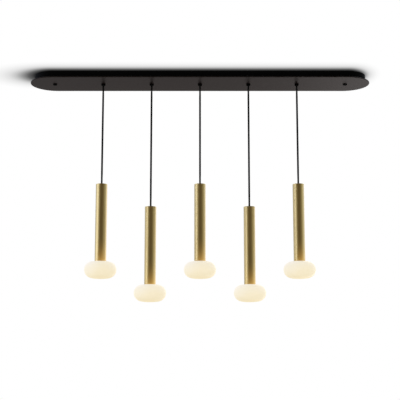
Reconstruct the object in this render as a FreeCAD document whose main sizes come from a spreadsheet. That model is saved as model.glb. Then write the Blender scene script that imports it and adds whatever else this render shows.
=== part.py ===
import FreeCAD, Part

import math
import os
import re

import Sketcher
from FreeCAD import Vector

# Linear island pendant: a stadium-shaped canopy on the ceiling and five pendants in a row.
# Each pendant is a cord, a slim tube and a flattened opal globe at the tube's lower end.
# Row frame: origin at the middle of the canopy's ceiling face, X along the row, Z up, millimetres.

PENDANTS = 5
MIDDLE = (PENDANTS + 1) // 2
HEX_SLOPE = math.tan(math.pi / 6)

SIZES = {
    # canopy
    "plate_length": 1050,
    "plate_width": 150,
    "plate_thickness": 3,
    "plate_edge": 0.5,
    "tray_inset": 12,
    "tray_depth": 22,
    "tray_sheet": 1.5,
    "tray_bend": 1.2,
    "cord_spacing": 150,
    # ceiling fixing and supply
    "slot_spacing": 750,
    "slot_width": 5.5,
    "slot_length": 20,
    "supply_place": -75,
    "supply_hole": 20,
    "grommet_bore": 10,
    "grommet_flange": 25,
    "grommet_height": 2,
    # cover screws and their posts
    "screw_spacing": 900,
    "screw_head": 13,
    "screw_head_height": 3,
    "screw_head_bevel": 1.2,
    "screw_shank": 5,
    "screw_reach": 10,
    "screw_key": 3,
    "screw_key_depth": 0.8,
    "post_diameter": 10,
    # cord grips
    "grip_flange": 13,
    "grip_flange_height": 4,
    "grip_bevel": 0.3,
    "grip_lip": 0.75,
    "grip_throat": 0.5,
    "grip_stem": 10,
    "grip_rise": 5.5,
    "nut_across": 14,
    "nut_height": 3,
    "stop_diameter": 12,
    "stop_height": 6,
    "stop_screw": 3,
    "stop_tail": 1,
    # leads and terminals in the canopy
    "lead_diameter": 3.2,
    "lead_drop": 5,
    "lead_bend": 5,
    "lane_first": 20,
    "lane_step": 8,
    "block_place": 75,
    "block_length": 46,
    "block_width": 18,
    "block_height": 13,
    "entry_pitch": 8,
    "entry_depth": 4,
    "well_diameter": 4.4,
    "well_depth": 3,
    "stud_place": 118,
    "stud_diameter": 4,
    "stud_length": 12,
    "stud_washer": 9,
    "stud_washer_height": 1,
    "stud_nut_across": 7,
    "stud_nut_height": 3.2,
    # pendants: drops are from the plate's underside to the tube's top
    "short_drop": 317,
    "long_drop": 387,
    "cord_diameter": 5.5,
    "tube_diameter": 35,
    "tube_wall": 1.5,
    "tube_length": 237,
    "tube_edge": 0.3,
    "cap_recess": 0.5,
    "cap_hole": 9,
    "pivot_depth": 8,
    "ball_diameter": 13,
    "clamp_skirt": 8,
    "clamp_mouth": 9,
    # lower end of the tube
    "carrier_recess": 1,
    "web_gap": 1,
    "web_thickness": 2,
    "holder_base": 3,
    "holder_diameter": 19,
    "holder_flange": 24,
    "holder_flange_height": 2,
    "holder_height": 21,
    "pin_pitch": 9,
    "pin_diameter": 2,
    "pin_length": 9,
    "pin_hole_depth": 11,
    "lamp_base": 14,
    "lamp_base_height": 8,
    "capsule_diameter": 16,
    "lamp_length": 35.7,
    # glass globe
    "globe_diameter": 95,
    "globe_top_height": 25,
    "globe_top_radius": 220,
    "globe_bottom_height": 27,
    "globe_bottom_radius": 150,
    "globe_shoulder": 1,
    "glass_wall": 3,
    "neck_diameter": 27.6,
    "neck_wall": 2.5,
    "neck_length": 12,
    # clearances
    "seat_gap": 0.3,
    "fit_gap": 0.05,
    "loose_gap": 0.15,
    "thread_gap": 0.2,
    "ball_gap": 0.1,
}

DOC = FreeCAD.newDocument("linear_island_pendant")
SHEET = DOC.addObject("Spreadsheet::Sheet", "Sizes")
for row, (name, size) in enumerate(SIZES.items(), start=1):
    SHEET.set(f"A{row}", name)
    SHEET.set(f"B{row}", str(size))
    SHEET.setAlias(f"B{row}", name)
DOC.recompute()

NODES = []

# formulas that several pieces share
CANOPY_DEPTH = "(tray_depth + plate_thickness)"
CORD_RADIUS = "(cord_diameter / 2)"
TUBE_BORE = "(tube_diameter / 2 - tube_wall)"
BALL_RADIUS = "(ball_diameter / 2)"
STEM_RADIUS = "(grip_stem / 2)"
NECK_RADIUS = "(neck_diameter / 2)"
HOLDER_RADIUS = "(holder_diameter / 2)"
WEB_BOTTOM = "(neck_length + web_gap)"
WEB_TOP = f"({WEB_BOTTOM} + web_thickness)"
HOLDER_TOP = "(holder_base + holder_height)"


def bound(formula):
    """The formula with each size name pointing at its cell in the sheet."""
    return re.sub(r"[a-z_]+", lambda word: f"Sizes.{word[0]}" if word[0] in SIZES else word[0], formula)


def value(formula):
    """The formula's value now, in millimetres."""
    return float(SHEET.evalExpression(formula))


def tie(thing, member, formula):
    """Bind one property of an object to a formula of the sheet's sizes."""
    thing.setExpression(member, bound(formula))


def new_body(label, across="0", height="0"):
    """A body whose own origin lies at the given place along the row and the given height."""
    body = DOC.addObject("PartDesign::Body", label)
    body.Label = label
    tie(body, "Placement.Base.x", across)
    tie(body, "Placement.Base.z", height)
    NODES.append(body)
    return body


def origin_feature(body, role):
    """One of the body's own origin planes or axes."""
    return next(feature for feature in body.Origin.OriginFeatures if feature.Role == role)


def new_sketch(body, name, role, across="0", height="0"):
    """A sketch on an origin plane, moved along the row and up by formulas."""
    sketch = body.newObject("Sketcher::SketchObject", name)
    sketch.AttachmentSupport = [(origin_feature(body, role), "")]
    sketch.MapMode = "FlatFace"
    tie(sketch, "AttachmentOffset.Base.x", across)
    tie(sketch, "AttachmentOffset.Base." + ("z" if role == "XY_Plane" else "y"), height)
    return sketch


def pin_point(sketch, edge, end, name, formula, along):
    """Hold one coordinate of a point: on the axis where the formula is 0, else at its distance."""
    if formula == "0":
        axis = -2 if along == "X" else -1
        sketch.addConstraint(Sketcher.Constraint("PointOnObject", edge, end, axis))
        return
    reach = Sketcher.Constraint(f"Distance{along}", -1, 1, edge, end, value(formula))
    sketch.renameConstraint(sketch.addConstraint(reach), name)
    tie(sketch, f"Constraints.{name}", formula)


def outline(sketch, corners, arcs=None):
    """A closed outline through corners, whose edges are lines except where arcs says otherwise.

    corners holds (x, y) formulas. arcs maps an edge's number to (centre x, centre y, turn, kept):
    turn is 1 anticlockwise and -1 clockwise, and kept is the one coordinate, X or Y, that still
    holds the corner where the arc ends. The arc itself gives the other.
    """
    arcs = arcs or {}
    base = sketch.GeometryCount
    label = f"p{base}_"
    points = [Vector(value(x), value(y), 0) for x, y in corners]
    count = len(corners)
    for edge in range(count):
        start, end = points[edge], points[(edge + 1) % count]
        if edge not in arcs:
            sketch.addGeometry(Part.LineSegment(start, end), False)
            continue
        centre_x, centre_y, turn, _ = arcs[edge]
        centre = Vector(value(centre_x), value(centre_y), 0)
        first, last = (start, end) if turn > 0 else (end, start)
        angles = [math.atan2(point.y - centre.y, point.x - centre.x) for point in (first, last)]
        circle = Part.Circle(centre, Vector(0, 0, 1), (first - centre).Length)
        sketch.addGeometry(Part.ArcOfCircle(circle, *angles), False)
    for edge in range(count):
        leaves = 1 if arcs.get(edge, (0, 0, 1))[2] > 0 else 2
        before = (edge - 1) % count
        arrives = 2 if arcs.get(before, (0, 0, 1))[2] > 0 else 1
        joint = Sketcher.Constraint("Coincident", base + before, arrives, base + edge, leaves)
        sketch.addConstraint(joint)
        held = arcs[before][3] if before in arcs else "XY"
        for along, formula in zip("XY", corners[edge]):
            if along in held:
                pin_point(sketch, base + edge, leaves, f"{label}{along.lower()}{edge}", formula, along)
        if edge in arcs:
            for along, formula in zip("XY", arcs[edge][:2]):
                pin_point(sketch, base + edge, 3, f"{label}c{along.lower()}{edge}", formula, along)


def circle(sketch, radius, across="0", along="0"):
    """A circle at a place in the sketch."""
    centre = Vector(value(across), value(along), 0)
    edge = sketch.addGeometry(Part.Circle(centre, Vector(0, 0, 1), value(radius)), False)
    named = sketch.addConstraint(Sketcher.Constraint("Radius", edge, value(radius)))
    sketch.renameConstraint(named, f"r{edge}")
    tie(sketch, f"Constraints.r{edge}", radius)
    pin_point(sketch, edge, 3, f"x{edge}", across, "X")
    pin_point(sketch, edge, 3, f"y{edge}", along, "Y")


def stadium(sketch, length, width, across="0"):
    """A long outline with round ends, along X and centred at a place along the row."""
    half_run = f"(({length}) - ({width})) / 2"
    left, right = f"{across} - {half_run}", f"{across} + {half_run}"
    side = f"({width}) / 2"
    corners = [(left, f"-({side})"), (right, f"-({side})"), (right, side), (left, side)]
    outline(sketch, corners, {1: (right, "0", 1, "X"), 3: (left, "0", 1, "X")})


def hexagon(sketch, across_flats):
    """A six-sided outline round the sketch's origin, by its size across flats."""
    flat = f"({across_flats}) / 2"
    half_side = f"({across_flats}) / 2 * {HEX_SLOPE}"
    point = f"({across_flats}) * {HEX_SLOPE}"
    corners = [
        (point, "0"),
        (half_side, flat),
        (f"-({half_side})", flat),
        (f"-({point})", "0"),
        (f"-({half_side})", f"-({flat})"),
        (half_side, f"-({flat})"),
    ]
    outline(sketch, corners)


def pad(body, sketch, height, down=False):
    """Extrude a sketch up, or down."""
    made = body.newObject("PartDesign::Pad", sketch.Name + "_pad")
    made.Profile = sketch
    made.Reversed = down
    tie(made, "Length", height)
    return made


def revolve(body, sketch):
    """Turn a profile about its sketch's upright axis."""
    made = body.newObject("PartDesign::Revolution", sketch.Name + "_turned")
    made.Profile = sketch
    made.ReferenceAxis = (sketch, ["V_Axis"])
    made.Angle = 360
    return made


def pocket(body, sketch, depth=None, up=False):
    """Cut a sketch into the body, down or up by a depth, or right through with no depth."""
    DOC.recompute()
    before = body.Shape.Volume
    made = body.newObject("PartDesign::Pocket", sketch.Name + "_cut")
    made.Profile = sketch
    if depth is None:
        made.Type = "ThroughAll"
        made.Midplane = True
    else:
        made.Reversed = up
        tie(made, "Length", depth)
    DOC.recompute()
    if body.Shape.Volume >= before:
        raise RuntimeError(f"{made.Name} cuts nothing")
    return made


def repeat(body, feature, reach, count):
    """Repeat a feature along the row, count times over the given reach."""
    made = body.newObject("PartDesign::LinearPattern", feature.Name + "_row")
    made.Originals = [feature]
    made.Direction = (origin_feature(body, "X_Axis"), [""])
    tie(made, "Length", reach)
    made.Occurrences = count
    body.Tip = made
    return made


def soften(body, kind, size, chosen):
    """A fillet or chamfer on the edges of the body's last feature that chosen() picks."""
    DOC.recompute()
    base = body.Tip
    names = [f"Edge{number}" for number, edge in enumerate(base.Shape.Edges, 1) if chosen(edge)]
    made = body.newObject(f"PartDesign::{kind}", f"{body.Name}_edges")
    made.Base = (base, names)
    tie(made, "Radius" if kind == "Fillet" else "Size", size)
    return made


def level_edges(height, shortest):
    """A test for edges that lie flat at a height and are longer than the shortest."""

    def chosen(edge):
        box = edge.BoundBox
        flat = abs(box.ZMin - height) < 1e-6 and abs(box.ZMax - height) < 1e-6
        return flat and edge.Length > shortest

    return chosen


# canopy


def ceiling_tray():
    """The tray against the ceiling: a shallow pan with slots for the ceiling screws."""
    body = new_body("ceiling_tray")
    outside = new_sketch(body, "tray_outside", "XY_Plane")
    stadium(outside, "plate_length - 2 * tray_inset", "plate_width - 2 * tray_inset")
    pad(body, outside, "tray_depth", down=True)
    inside = new_sketch(body, "tray_inside", "XY_Plane", height="-tray_sheet")
    rim = "2 * (tray_inset + tray_sheet)"
    stadium(inside, f"plate_length - {rim}", f"plate_width - {rim}")
    pocket(body, inside, "tray_depth")
    holes = new_sketch(body, "tray_holes", "XY_Plane")
    for side in ("-", ""):
        stadium(holes, "slot_length", "slot_width", f"{side}slot_spacing / 2")
    circle(holes, "supply_hole / 2", "supply_place")
    pocket(body, holes)
    soften(body, "Fillet", "tray_bend", level_edges(0, value("supply_hole") * math.pi + 1))


def cover_plate():
    """The wide plate under the tray, with holes for the grips and the screws."""
    body = new_body("cover_plate", height=f"-{CANOPY_DEPTH}")
    blank = new_sketch(body, "plate_blank", "XY_Plane")
    stadium(blank, "plate_length", "plate_width")
    pad(body, blank, "plate_thickness")
    grip_hole = new_sketch(body, "grip_hole", "XY_Plane", across="-2 * cord_spacing")
    circle(grip_hole, f"{STEM_RADIUS} + loose_gap")
    repeat(body, pocket(body, grip_hole), f"{PENDANTS - 1} * cord_spacing", PENDANTS)
    screw_hole = new_sketch(body, "screw_hole", "XY_Plane", across="-screw_spacing / 2")
    circle(screw_hole, "screw_shank / 2 + loose_gap")
    repeat(body, pocket(body, screw_hole), "screw_spacing", 2)
    outer = value("plate_width")
    soften(body, "Chamfer", "plate_edge", level_edges(0, outer))
    soften(body, "Chamfer", "plate_edge", level_edges(value("plate_thickness"), outer))


def cover_screws():
    """Two low round-headed screws that hold the plate to the tray's posts."""
    body = new_body("cover_screws", height=f"-{CANOPY_DEPTH}")
    profile = new_sketch(body, "screw_profile", "XZ_Plane", across="-screw_spacing / 2")
    head, bottom = "screw_head / 2", "-screw_head_height"
    key = "screw_key / 2"
    corners = [
        ("0", "screw_reach + plate_thickness"),
        ("0", "screw_key_depth - screw_head_height"),
        (key, "screw_key_depth - screw_head_height"),
        (key, bottom),
        (f"{head} - screw_head_bevel", bottom),
        (head, f"{bottom} + screw_head_bevel"),
        (head, "0"),
        ("screw_shank / 2", "0"),
        ("screw_shank / 2", "screw_reach + plate_thickness"),
    ]
    outline(profile, corners)
    repeat(body, revolve(body, profile), "screw_spacing", 2)


def screw_posts():
    """Two threaded posts in the tray, over the cover screws."""
    body = new_body("screw_posts", height="-tray_depth")
    ring = new_sketch(body, "post_ring", "XY_Plane", across="-screw_spacing / 2")
    circle(ring, "post_diameter / 2")
    circle(ring, "screw_shank / 2 + fit_gap")
    repeat(body, pad(body, ring, "tray_depth - tray_sheet"), "screw_spacing", 2)


def supply_grommet():
    """Rubber bush in the tray's hole, where the house supply comes through."""
    body = new_body("supply_grommet", across="supply_place")
    profile = new_sketch(body, "grommet_profile", "XZ_Plane")
    neck, rim, bore = "supply_hole / 2 - fit_gap", "grommet_flange / 2", "grommet_bore / 2"
    base = "-(tray_sheet + grommet_height)"
    corners = [
        (bore, base),
        (rim, base),
        (rim, "-tray_sheet"),
        (neck, "-tray_sheet"),
        (neck, "0"),
        (bore, "0"),
    ]
    outline(profile, corners)
    revolve(body, profile)


def terminal_block():
    """Block on the tray with an entry and a screw well for each pendant's lead."""
    body = new_body("terminal_block", across="block_place", height="-tray_sheet")
    half, side = "block_length / 2", "block_width / 2"
    blank = new_sketch(body, "block_blank", "XY_Plane")
    corners = [(f"-{half}", f"-{side}"), (half, f"-{side}"), (half, side), (f"-{half}", side)]
    outline(blank, corners)
    pad(body, blank, "block_height", down=True)
    first = f"-{PENDANTS - 1} / 2 * entry_pitch"
    reach = f"{PENDANTS - 1} * entry_pitch"
    entry = new_sketch(body, "block_entry", "XZ_Plane", across=first)
    circle(entry, "lead_diameter / 2 + loose_gap", along="tray_sheet - lead_drop")
    tie(entry, "AttachmentOffset.Base.z", f"-({side})")
    entries = pocket(body, entry, "entry_depth", up=True)
    repeat(body, entries, reach, PENDANTS)
    well = new_sketch(body, "block_well", "XY_Plane", across=first, height="-block_height")
    circle(well, "well_diameter / 2")
    wells = pocket(body, well, "well_depth", up=True)
    repeat(body, wells, reach, PENDANTS)


def earth_stud():
    """Earth stud under the tray's sheet, with its washer and nut."""
    body = new_body("earth_stud", across="stud_place", height="-tray_sheet")
    profile = new_sketch(body, "stud_profile", "XZ_Plane")
    washer, stud = "stud_washer / 2", "stud_diameter / 2"
    corners = [
        ("0", "0"),
        ("0", "-stud_length"),
        (stud, "-stud_length"),
        (stud, "-stud_washer_height"),
        (washer, "-stud_washer_height"),
        (washer, "0"),
    ]
    outline(profile, corners)
    revolve(body, profile)
    nut = new_sketch(body, "stud_nut", "XY_Plane", height="-stud_washer_height")
    hexagon(nut, "stud_nut_across")
    pad(body, nut, "stud_nut_height", down=True)


def cord_grips():
    """Five glands under the plate, each with a mouth that flares from a throat just inside the plate."""
    body = new_body("cord_grips", height=f"-{CANOPY_DEPTH}")
    profile = new_sketch(body, "grip_profile", "XZ_Plane", across="-2 * cord_spacing")
    bore, mouth = f"{CORD_RADIUS} + loose_gap", "grip_flange / 2 - grip_lip"
    rim, base = "grip_flange / 2", "-grip_flange_height"
    top = "plate_thickness + grip_rise"
    corners = [
        (bore, top),
        (bore, "grip_throat"),
        (mouth, base),
        (f"{rim} - grip_bevel", base),
        (rim, f"{base} + grip_bevel"),
        (rim, "0"),
        (STEM_RADIUS, "0"),
        (STEM_RADIUS, top),
    ]
    outline(profile, corners)
    repeat(body, revolve(body, profile), f"{PENDANTS - 1} * cord_spacing", PENDANTS)


def grip_nuts():
    """Five thin nuts on the glands' stems, over the plate."""
    body = new_body("grip_nuts", height="-tray_depth")
    section = new_sketch(body, "nut_section", "XY_Plane", across="-2 * cord_spacing")
    hexagon(section, "nut_across")
    circle(section, f"{STEM_RADIUS} + fit_gap")
    repeat(body, pad(body, section, "nut_height"), f"{PENDANTS - 1} * cord_spacing", PENDANTS)


def cord_stops():
    """Five collars clamped on the cords, which rest on the glands' stems."""
    body = new_body("cord_stops", height="grip_rise - tray_depth")
    section = new_sketch(body, "stop_section", "XY_Plane", across="-2 * cord_spacing")
    circle(section, "stop_diameter / 2")
    circle(section, f"{CORD_RADIUS} + fit_gap")
    repeat(body, pad(body, section, "stop_height"), f"{PENDANTS - 1} * cord_spacing", PENDANTS)
    screw = new_sketch(body, "stop_screw", "XZ_Plane", across="-2 * cord_spacing")
    circle(screw, "stop_screw / 2", along="stop_height / 2")
    tapped = pocket(body, screw, "stop_diameter / 2")
    repeat(body, tapped, f"{PENDANTS - 1} * cord_spacing", PENDANTS)


def bent_route(points, radius):
    """A wire of straight runs through points, joined by tangent arcs of one radius."""
    edges = []
    last = points[0]
    for before, corner, after in zip(points, points[1:], points[2:]):
        back = (before - corner).normalize()
        ahead = (after - corner).normalize()
        half_turn = back.getAngle(ahead) / 2
        cut = radius / math.tan(half_turn)
        start, end = corner + back * cut, corner + ahead * cut
        inward = (back + ahead).normalize()
        middle = corner + inward * (radius / math.sin(half_turn) - radius)
        edges.append(Part.LineSegment(last, start).toShape())
        edges.append(Part.Arc(start, middle, end).toShape())
        last = end
    edges.append(Part.LineSegment(last, points[-1]).toShape())
    return Part.Wire(edges)


def canopy_leads():
    """Five leads from the glands to the terminal block, each in a lane of its own."""
    cord_top = value("grip_rise + stop_height - tray_depth + stop_tail")
    cord_foot = value(f"seat_gap - {CANOPY_DEPTH}")
    level = -value("lead_drop")
    face = value("block_width / 2 - entry_depth + fit_gap")
    leads = []
    for number in range(1, PENDANTS + 1):
        from_left = number <= MIDDLE
        entry_step = 1 - number if from_left else PENDANTS + 1 - number
        lane_step = MIDDLE - number if from_left else number - MIDDLE - 1
        across = value("cord_spacing") * (number - MIDDLE)
        entry = value("block_place") + entry_step * value("entry_pitch")
        lane = value("lane_first") + lane_step * value("lane_step")
        points = [
            Vector(across, 0, cord_top - value("stop_height")),
            Vector(across, 0, level),
            Vector(across, lane, level),
            Vector(entry, lane, level),
            Vector(entry, face, level),
        ]
        route = bent_route(points, value("lead_bend"))
        section = Part.Circle(points[0], Vector(0, 0, 1), value("lead_diameter / 2")).toShape()
        pipe = route.makePipe(Part.Face(Part.Wire(section)))
        sheath = Part.makeCylinder(value(CORD_RADIUS), cord_top - cord_foot, Vector(across, 0, cord_foot))
        leads.append(pipe.fuse(sheath))
    node = DOC.addObject("Part::Feature", "canopy_leads")
    node.Label = "canopy_leads"
    node.Shape = Part.Compound(leads)
    NODES.append(node)


# pendants: the first pieces are drawn from the tube's top, the rest from its lower end


def cord(label, place, drop, top):
    """The free cord, from the gland's throat to the ball of the clamp."""
    body = new_body(label, place, top)
    section = new_sketch(body, "cord_section", "XY_Plane", height="-pivot_depth")
    circle(section, CORD_RADIUS)
    pad(body, section, f"{drop} + pivot_depth")


def cord_clamp(label, place, top):
    """Ball-topped clamp on the cord's end, bell-mouthed below for the lead."""
    body = new_body(label, place, top)
    profile = new_sketch(body, "clamp_profile", "XZ_Plane")
    bore, mouth = f"{CORD_RADIUS} + fit_gap", "clamp_mouth / 2"
    shoulder = f"sqrt({BALL_RADIUS}^2 - ({bore})^2) - pivot_depth"
    throat = f"{CORD_RADIUS} + 2 * seat_gap"
    foot = "-(pivot_depth + clamp_skirt)"
    corners = [
        (bore, shoulder),
        (BALL_RADIUS, "-pivot_depth"),
        (BALL_RADIUS, foot),
        (mouth, foot),
        (throat, "seat_gap - pivot_depth"),
        (bore, "4 * seat_gap - pivot_depth"),
    ]
    outline(profile, corners, {0: ("0", "-pivot_depth", -1, "Y")})
    revolve(body, profile)


def tube_cap(label, place, top):
    """Disc in the tube's top, hollowed below to sit on the clamp's ball."""
    body = new_body(label, place, top)
    profile = new_sketch(body, "cap_profile", "XZ_Plane")
    hole, seat = "cap_hole / 2", f"{BALL_RADIUS} + ball_gap"
    rim = f"{TUBE_BORE} - fit_gap"
    lip = f"sqrt(({seat})^2 - ({hole})^2) - pivot_depth"
    corners = [
        (hole, lip),
        (hole, "-cap_recess"),
        (rim, "-cap_recess"),
        (rim, "-pivot_depth"),
        (seat, "-pivot_depth"),
    ]
    outline(profile, corners, {4: ("0", "-pivot_depth", 1, "X")})
    revolve(body, profile)


def tube(label, place, top):
    """Brass tube with lightly broken edges."""
    body = new_body(label, place, top)
    profile = new_sketch(body, "tube_profile", "XZ_Plane")
    outer = "tube_diameter / 2"
    corners = [
        (TUBE_BORE, "0"),
        (f"{outer} - tube_edge", "0"),
        (outer, "-tube_edge"),
        (outer, "tube_edge - tube_length"),
        (f"{outer} - tube_edge", "-tube_length"),
        (TUBE_BORE, "-tube_length"),
    ]
    outline(profile, corners)
    revolve(body, profile)


def inner_lead(label, place, end):
    """Lead inside the tube, from the clamp's bell mouth to the lamp holder."""
    body = new_body(label, place, end)
    section = new_sketch(body, "lead_section", "XY_Plane", height=HOLDER_TOP)
    circle(section, CORD_RADIUS)
    pad(body, section, f"tube_length - pivot_depth - seat_gap - {HOLDER_TOP}")


def globe_carrier(label, place, end):
    """Turned ring in the tube's lower end: the glass neck goes up into it, the holder sits on its web."""
    body = new_body(label, place, end)
    profile = new_sketch(body, "carrier_profile", "XZ_Plane")
    bore, rim = f"{NECK_RADIUS} + thread_gap", f"{TUBE_BORE} - fit_gap"
    hole = f"{HOLDER_RADIUS} + fit_gap"
    corners = [
        (bore, "carrier_recess"),
        (rim, "carrier_recess"),
        (rim, WEB_TOP),
        (hole, WEB_TOP),
        (hole, WEB_BOTTOM),
        (bore, WEB_BOTTOM),
    ]
    outline(profile, corners)
    revolve(body, profile)


def lamp_holder(label, place, end):
    """Ceramic holder that rests on the carrier's web by its flange, with two pin holes below."""
    body = new_body(label, place, end)
    profile = new_sketch(body, "holder_profile", "XZ_Plane")
    flange_top = f"{WEB_TOP} + holder_flange_height"
    corners = [
        ("0", "holder_base"),
        (HOLDER_RADIUS, "holder_base"),
        (HOLDER_RADIUS, WEB_TOP),
        ("holder_flange / 2", WEB_TOP),
        ("holder_flange / 2", flange_top),
        (HOLDER_RADIUS, flange_top),
        (HOLDER_RADIUS, HOLDER_TOP),
        ("0", HOLDER_TOP),
    ]
    outline(profile, corners)
    revolve(body, profile)
    holes = new_sketch(body, "pin_holes", "XY_Plane", height="holder_base")
    for side in ("-", ""):
        circle(holes, "pin_diameter / 2 + loose_gap", f"{side}pin_pitch / 2")
    pocket(body, holes, "pin_hole_depth", up=True)


def lamp(label, place, end):
    """Two-pin capsule lamp."""
    body = new_body(label, place, end)
    profile = new_sketch(body, "lamp_profile", "XZ_Plane")
    crown = "holder_base - seat_gap"
    base, capsule = "lamp_base / 2", "capsule_diameter / 2"
    round_centre = f"{crown} - lamp_length + {capsule}"
    corners = [
        ("0", crown),
        ("0", f"{crown} - lamp_length"),
        (capsule, round_centre),
        (capsule, f"{crown} - lamp_base_height - ({capsule} - {base})"),
        (base, f"{crown} - lamp_base_height"),
        (base, crown),
    ]
    outline(profile, corners, {1: ("0", round_centre, 1, "Y")})
    revolve(body, profile)
    pins = new_sketch(body, "lamp_pins", "XY_Plane", height=crown)
    for side in ("-", ""):
        circle(pins, "pin_diameter / 2", f"{side}pin_pitch / 2")
    pad(body, pins, "pin_length")


def globe_bend(height, crown):
    """The radius of the side arc that joins the globe's girth to a crown of a given height and radius."""
    girth = "(globe_diameter / 2)"
    return f"((2 * {crown} * {height} - {girth}^2 - {height}^2) / (2 * ({crown} - {girth})))"


def globe(label, place, end):
    """Flattened opal globe with round sides and a neck that goes up into the tube."""
    body = new_body(label, place, end)
    profile = new_sketch(body, "globe_profile", "XZ_Plane")
    top, bottom, wall = "globe_top_radius", "globe_bottom_radius", "glass_wall"
    top_bend = globe_bend("globe_top_height", top)
    bottom_bend = globe_bend("globe_bottom_height", bottom)
    top_turn = f"(globe_diameter / 2 - {top_bend})"
    bottom_turn = f"(globe_diameter / 2 - {bottom_bend})"
    top_sunk = f"({top} - globe_top_height)"
    bottom_sunk = f"({bottom} - globe_bottom_height)"
    shoulder = "(tube_diameter / 2 + globe_shoulder)"
    girth = f"({top_sunk} - seat_gap - sqrt({top}^2 - {shoulder}^2))"
    floor = f"{girth} - globe_bottom_height"
    top_centre, bottom_centre = f"{girth} - {top_sunk}", f"{girth} + {bottom_sunk}"
    top_across, top_up = f"{top_turn} / ({top} - {top_bend})", f"{top_sunk} / ({top} - {top_bend})"
    bottom_across = f"{bottom_turn} / ({bottom} - {bottom_bend})"
    bottom_down = f"{bottom_sunk} / ({bottom} - {bottom_bend})"
    neck_bore = f"({NECK_RADIUS} - neck_wall)"
    corners = [
        (NECK_RADIUS, "neck_length"),
        (NECK_RADIUS, "-seat_gap"),
        (shoulder, "-seat_gap"),
        (f"{top_across} * {top}", f"{girth} + {top_up} * {top_bend}"),
        ("globe_diameter / 2", girth),
        (f"{bottom_across} * {bottom}", f"{girth} - {bottom_down} * {bottom_bend}"),
        ("0", floor),
        ("0", f"{floor} + {wall}"),
        (f"{bottom_across} * ({bottom} - {wall})", f"{girth} - {bottom_down} * ({bottom_bend} - {wall})"),
        (f"globe_diameter / 2 - {wall}", girth),
        (f"{top_across} * ({top} - {wall})", f"{girth} + {top_up} * ({top_bend} - {wall})"),
        (neck_bore, f"{top_centre} + sqrt(({top} - {wall})^2 - {neck_bore}^2)"),
        (neck_bore, "neck_length"),
    ]
    arcs = {
        2: ("0", top_centre, -1, "X"),
        3: (top_turn, girth, -1, "Y"),
        4: (bottom_turn, girth, -1, "Y"),
        5: ("0", bottom_centre, -1, "X"),
        7: ("0", bottom_centre, 1, "X"),
        8: (bottom_turn, girth, 1, "Y"),
        9: (top_turn, girth, 1, "Y"),
        10: ("0", top_centre, 1, "X"),
    }
    outline(profile, corners, arcs)
    revolve(body, profile)


def pendant(number):
    """All the pieces of one pendant."""
    place = f"{number - MIDDLE} * cord_spacing"
    drop = "long_drop" if number % 2 == 0 else "short_drop"
    top = f"-({CANOPY_DEPTH} + {drop})"
    end = f"-({CANOPY_DEPTH} + {drop} + tube_length)"
    cord(f"cord_{number}", place, drop, top)
    for make in (cord_clamp, tube_cap, tube):
        make(f"{make.__name__}_{number}", place, top)
    for make in (inner_lead, globe_carrier, lamp_holder, lamp, globe):
        make(f"{make.__name__}_{number}", place, end)


def check_document():
    """Stop if any object failed or any node's shape is missing or invalid."""
    DOC.recompute()
    for thing in DOC.Objects:
        if "Invalid" in thing.State or "Error" in thing.State:
            raise RuntimeError(f"{thing.Name} failed: {thing.State}")
    for node in NODES:
        if node.Shape.isNull() or not node.Shape.isValid():
            raise RuntimeError(f"{node.Label} has no valid shape")


def write_parts():
    """Write each node's shape to its own STEP file."""
    os.makedirs("parts", exist_ok=True)
    for node in NODES:
        node.Shape.exportStep(f"parts/{node.Label}.step")
        print(node.Label, len(node.Shape.Solids), "solids", round(node.Shape.Volume), "mm3")


ceiling_tray()
cover_plate()
cover_screws()
screw_posts()
supply_grommet()
terminal_block()
earth_stud()
cord_grips()
grip_nuts()
cord_stops()
canopy_leads()
for number in range(1, PENDANTS + 1):
    pendant(number)
check_document()
write_parts()
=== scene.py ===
"""Looks of a linear island pendant: five brass tubes with opal globes under a long dark canopy.

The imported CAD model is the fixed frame. This script gives each piece its finish and makes new
surfaces where the real ones have detail that the CAD leaves out: the braided cords, the brushed
tubes and the glass globes with their threaded necks. Units are metres. X runs along the row, Z is
up, and Z = 0 is the ceiling.
"""

import logging
import math
from collections.abc import Mapping, Sequence
from dataclasses import dataclass, field
from enum import Enum
from typing import Any, ClassVar

import bpy
import numpy as np
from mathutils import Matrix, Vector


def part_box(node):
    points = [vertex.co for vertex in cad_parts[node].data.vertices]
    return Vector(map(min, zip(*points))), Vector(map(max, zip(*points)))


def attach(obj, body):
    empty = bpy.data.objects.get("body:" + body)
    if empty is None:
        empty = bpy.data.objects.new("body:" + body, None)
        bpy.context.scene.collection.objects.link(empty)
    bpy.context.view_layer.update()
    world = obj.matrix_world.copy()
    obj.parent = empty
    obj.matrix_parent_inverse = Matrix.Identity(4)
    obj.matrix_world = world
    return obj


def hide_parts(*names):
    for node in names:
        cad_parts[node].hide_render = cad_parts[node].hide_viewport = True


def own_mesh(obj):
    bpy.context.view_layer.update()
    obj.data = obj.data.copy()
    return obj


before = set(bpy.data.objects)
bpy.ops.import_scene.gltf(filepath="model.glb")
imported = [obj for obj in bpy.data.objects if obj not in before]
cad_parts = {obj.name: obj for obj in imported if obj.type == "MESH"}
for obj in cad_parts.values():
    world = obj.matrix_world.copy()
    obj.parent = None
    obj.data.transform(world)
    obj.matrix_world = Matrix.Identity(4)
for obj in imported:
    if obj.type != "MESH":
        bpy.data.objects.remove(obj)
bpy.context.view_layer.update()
LOG = logging.getLogger("pendant")

Colour = tuple[float, float, float]
Point = tuple[float, float, float]
Levels = Sequence[tuple[float, float]]
Stops = Sequence[tuple[float, Colour]]

WHITE: Colour = (1.0, 1.0, 1.0)
PENDANTS = 5
CORD_SPACING = 0.150
SHARP_DEGREES = 40.0


def smooth_step(share: np.ndarray) -> np.ndarray:
    """Ease from 0 to 1: three times the share squared less twice its cube, held at both ends."""
    held = np.clip(share, 0.0, 1.0)
    return held * held * (3.0 - 2.0 * held)


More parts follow.
